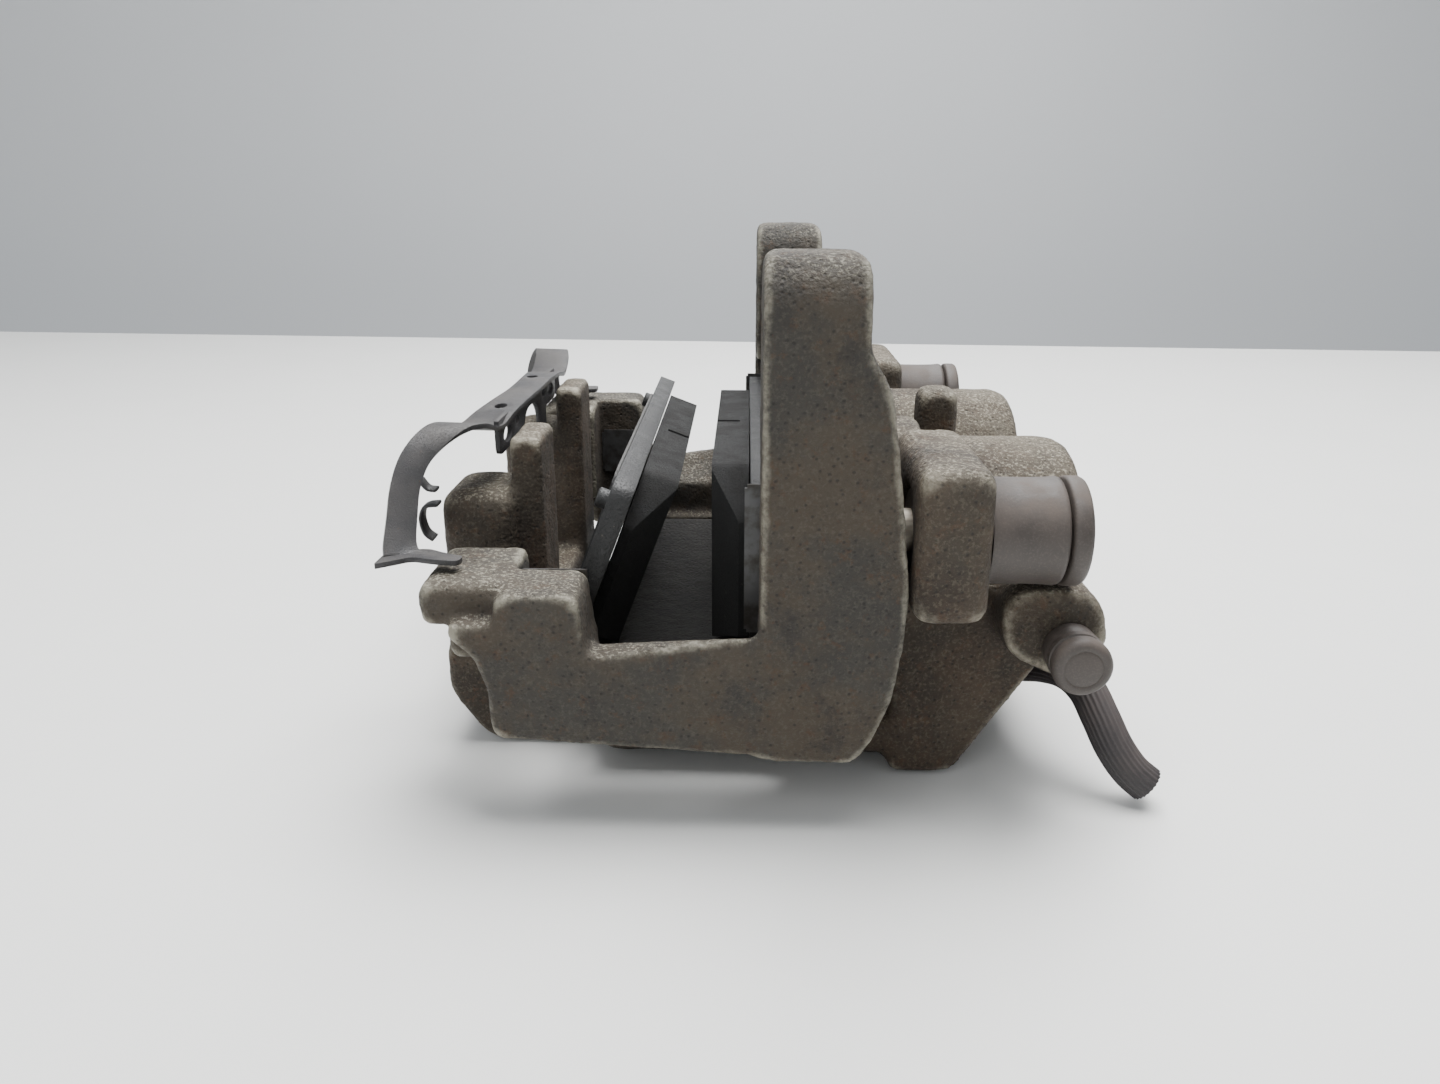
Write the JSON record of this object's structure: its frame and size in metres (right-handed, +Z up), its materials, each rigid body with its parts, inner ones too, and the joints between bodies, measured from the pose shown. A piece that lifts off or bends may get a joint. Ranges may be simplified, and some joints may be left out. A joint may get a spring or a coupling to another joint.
{
  "type": "brake caliper",
  "caption": "Twin-piston sliding disc-brake caliper with its carrier bracket, pads, retaining spring, rubber guide bushes, bleed screw and a cut stub of brake hose.",
  "frame": {"origin": "on the resting plane, under the middle of the caliper's box without the hose", "axes": "+X inboard towards the cylinders, +Y along the disc's edge, +Z up towards the disc's centre"},
  "size_m": [0.2087, 0.212, 0.147],
  "materials": {
    "carrier_casting": "rough sand casting, brown-grey with worn light edges",
    "housing_casting": "rough sand casting, rusty brown",
    "plated_steel": "dull zinc plate",
    "seal_rubber": "matt",
    "bush_rubber": "dusty dark brown, smooth",
    "pad_plate_paint": "worn black paint",
    "friction_lining": "dark gritty friction compound",
    "shim_steel": "thin coated sheet",
    "clip_steel": "stainless sheet, dull",
    "spring_steel": "dark blue-grey coated spring steel",
    "copper": "crushed copper washer",
    "hose_rubber": "black-brown, finely ribbed lengthwise"
  },
  "bodies": {
    "carrier": {"carrier": "carrier_casting", "guide_pin_near": "plated_steel", "guide_pin_far": "plated_steel", "inner_pad_clip_near": "clip_steel", "inner_pad_clip_far": "clip_steel", "outer_pad_clip_near": "clip_steel", "outer_pad_clip_far": "clip_steel"},
    "housing": {"housing": "housing_casting", "piston_seal_near": "seal_rubber", "piston_seal_far": "seal_rubber", "dust_boot_near": "seal_rubber", "dust_boot_far": "seal_rubber", "guide_bush_near": "bush_rubber", "guide_bush_far": "bush_rubber", "guide_cap_near": "bush_rubber", "guide_cap_far": "bush_rubber", "retaining_spring": "spring_steel", "banjo_bolt": "plated_steel", "banjo_washer_inner": "copper", "banjo_washer_outer": "copper", "hose_fitting": "plated_steel", "brake_hose": "hose_rubber"},
    "piston_near": {"piston_near": "plated_steel"},
    "piston_far": {"piston_far": "plated_steel"},
    "inner_pad": {"inner_pad_plate": "pad_plate_paint", "inner_pad_lining": "friction_lining", "inner_pad_shim": "shim_steel"},
    "outer_pad": {"outer_pad_plate": "pad_plate_paint", "outer_pad_lining": "friction_lining", "outer_pad_shim": "shim_steel"},
    "bleed_screw": {"bleed_screw": "plated_steel"},
    "bleed_cap": {"bleed_cap": "bush_rubber"}
  },
  "joints": [
    {"name": "housing_slide", "type": "slide", "parent": "carrier", "child": "housing", "axis": [1, 0, 0], "range_m": [0, 0.0045]},
    {"name": "piston_near_slide", "type": "slide", "parent": "housing", "child": "piston_near", "axis": [-1, 0, 0], "range_m": [-0.0035, 0.004]},
    {"name": "piston_far_slide", "type": "slide", "parent": "housing", "child": "piston_far", "axis": [-1, 0, 0], "range_m": [-0.0035, 0.004]},
    {"name": "inner_pad_slide", "type": "slide", "parent": "carrier", "child": "inner_pad", "axis": [-1, 0, 0], "range_m": [-0.0035, 0.004]},
    {"name": "outer_pad_tilt", "type": "hinge", "parent": "housing", "child": "outer_pad", "pos_m": [-0.0552, 0, 0.0335], "axis": [0, -1, 0], "range_deg": [0, 21]},
    {"name": "bleed_screw_turn", "type": "hinge", "parent": "housing", "child": "bleed_screw", "pos_m": [0.084, -0.0905, 0.048], "axis": [0, -1, 0], "range_deg": [0, 270]},
    {"name": "bleed_cap_pull", "type": "slide", "parent": "bleed_screw", "child": "bleed_cap", "axis": [0, -1, 0], "range_m": [0, 0.012]}
  ],
  "couplings": [
    {"joint": "piston_far_slide", "follows": "piston_near_slide", "ratio": 1},
    {"joint": "inner_pad_slide", "follows": "piston_near_slide", "ratio": 1}
  ]
}
